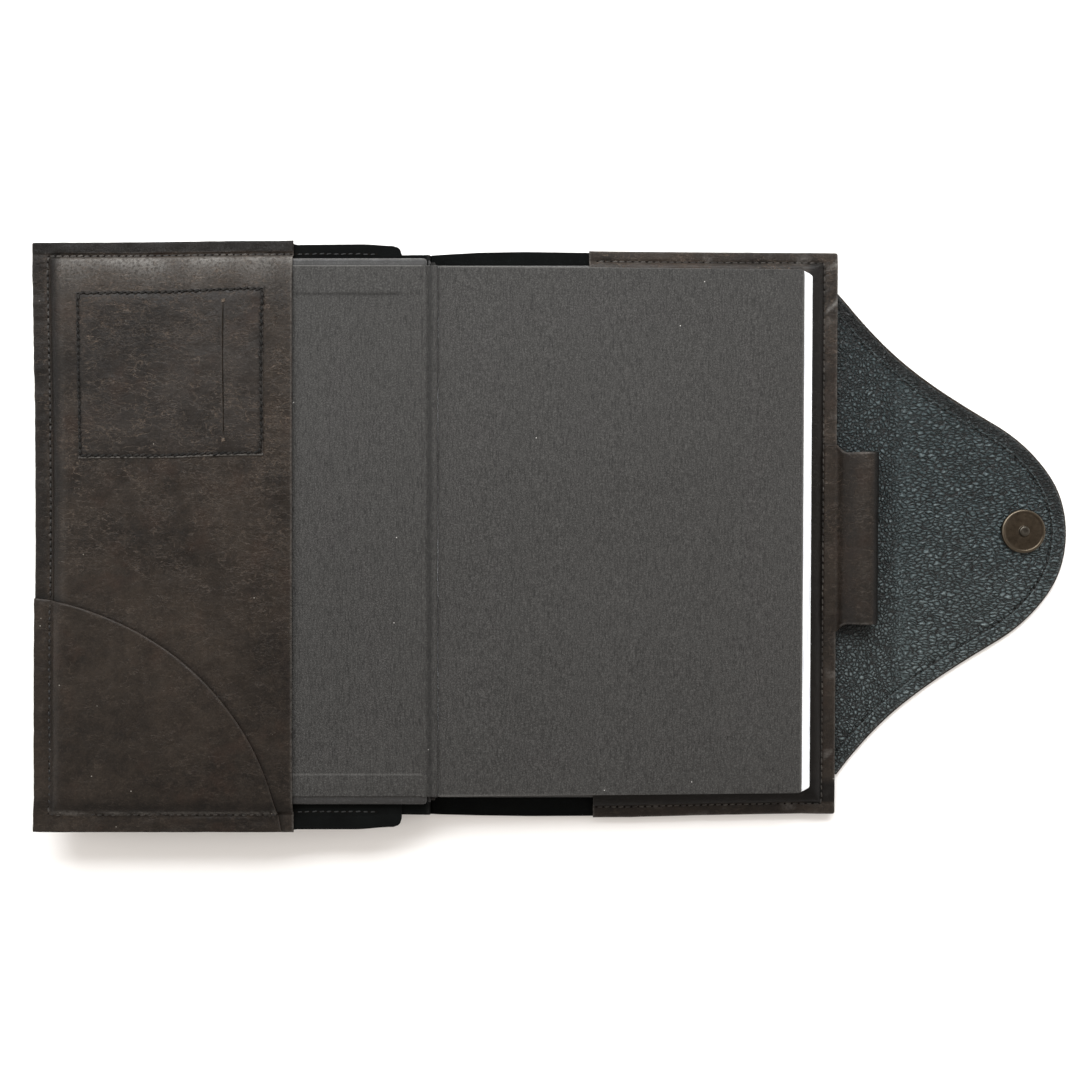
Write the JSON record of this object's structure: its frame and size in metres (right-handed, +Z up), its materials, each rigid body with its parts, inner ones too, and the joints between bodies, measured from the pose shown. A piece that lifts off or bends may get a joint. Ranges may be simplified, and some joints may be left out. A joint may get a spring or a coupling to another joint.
{
  "type": "sketchbook portfolio case",
  "caption": "Leather portfolio case for a hardbound sketchbook, lying open, with board sleeves, a card pocket, a quarter-round pocket, a pen loop and a folding flap with a magnetic snap",
  "frame": {"origin": "middle of the case's underside as it lies open on a table, at the centre of its bounding box", "axes": "+X from the front cover across the spine to the flap's tip, +Y to the head of the book, +Z up off the table"},
  "size_m": [0.4166, 0.2344, 0.0207],
  "materials": {
    "brown_leather": "waxed pull-up leather, dark brown, satin",
    "blue_leather": "pebbled leather, dark blue-green, satin",
    "black_suede": "black suede lining, matt",
    "grey_paper": "dark grey endpaper, matt",
    "page_paper": "white drawing paper, matt",
    "book_cloth": "black book cloth over grey board",
    "antique_brass": "dark antique brass",
    "steel": "nickel-plated",
    "thread": "waxed thread, black",
    "band_cloth": "woven head band, off-white"
  },
  "bodies": {
    "back_cover": {"back_cover_panel": "brown_leather", "back_lining": "black_suede", "spine_leather": "brown_leather", "right_sleeve": "brown_leather", "back_seam_thread": "thread", "book_back_board": "book_cloth", "back_pastedown": "grey_paper", "book_spine_strip": "book_cloth", "text_block": "page_paper", "head_band": "band_cloth", "tail_band": "band_cloth", "endpaper_tip": "grey_paper"},
    "front_cover": {"front_cover_panel": "brown_leather", "front_lining": "black_suede", "spine_leather_front_leaf": "brown_leather", "book_front_board": "book_cloth", "front_pastedown": "grey_paper", "left_sleeve": "brown_leather", "card_pocket": "brown_leather", "quarter_pocket": "brown_leather", "front_seam_thread": "thread", "quarter_pocket_seam_thread": "thread", "front_panel_head_thread": "thread", "front_panel_tail_thread": "thread", "card_pocket_thread": "thread", "snap_female_cup": "antique_brass", "snap_female_magnet": "steel", "snap_female_washer": "steel"},
    "flyleaf_body": {"flyleaf": "grey_paper"},
    "flap_gusset": {"flap_gusset_outer": "brown_leather", "flap_gusset_lining": "blue_leather", "flap_gusset_head_thread": "thread", "flap_gusset_tail_thread": "thread"},
    "flap_tip": {"flap_tip_outer": "brown_leather", "flap_tip_lining": "blue_leather", "flap_tip_thread": "thread", "snap_male_disc": "antique_brass", "snap_male_washer": "steel"},
    "pen_loop_body": {"pen_loop": "brown_leather"}
  },
  "joints": [
    {"name": "front_cover_fold", "type": "hinge", "parent": "back_cover", "child": "front_cover", "pos_m": [-0.0488, 0, 0.0187], "axis": [0, 1, 0], "range_deg": [0, 180]},
    {"name": "flyleaf_turn", "type": "hinge", "parent": "back_cover", "child": "flyleaf_body", "pos_m": [-0.0467, 0, 0.01765], "axis": [0, -1, 0], "range_deg": [0, 172]},
    {"name": "flap_base_fold", "type": "hinge", "parent": "back_cover", "child": "flap_gusset", "pos_m": [0.1146, 0, 0.0044], "axis": [0, -1, 0], "range_deg": [0, 90]},
    {"name": "flap_tip_fold", "type": "hinge", "parent": "flap_gusset", "child": "flap_tip", "pos_m": [0.1383, 0, 0.0044], "axis": [0, -1, 0], "range_deg": [0, 90]},
    {"name": "pen_loop_fold", "type": "hinge", "parent": "back_cover", "child": "pen_loop_body", "pos_m": [0.1146, 0, 0.0044], "axis": [0, -1, 0], "range_deg": [0, 90]}
  ],
  "couplings": [
    {"joint": "pen_loop_fold", "follows": "flap_base_fold", "ratio": 1}
  ]
}
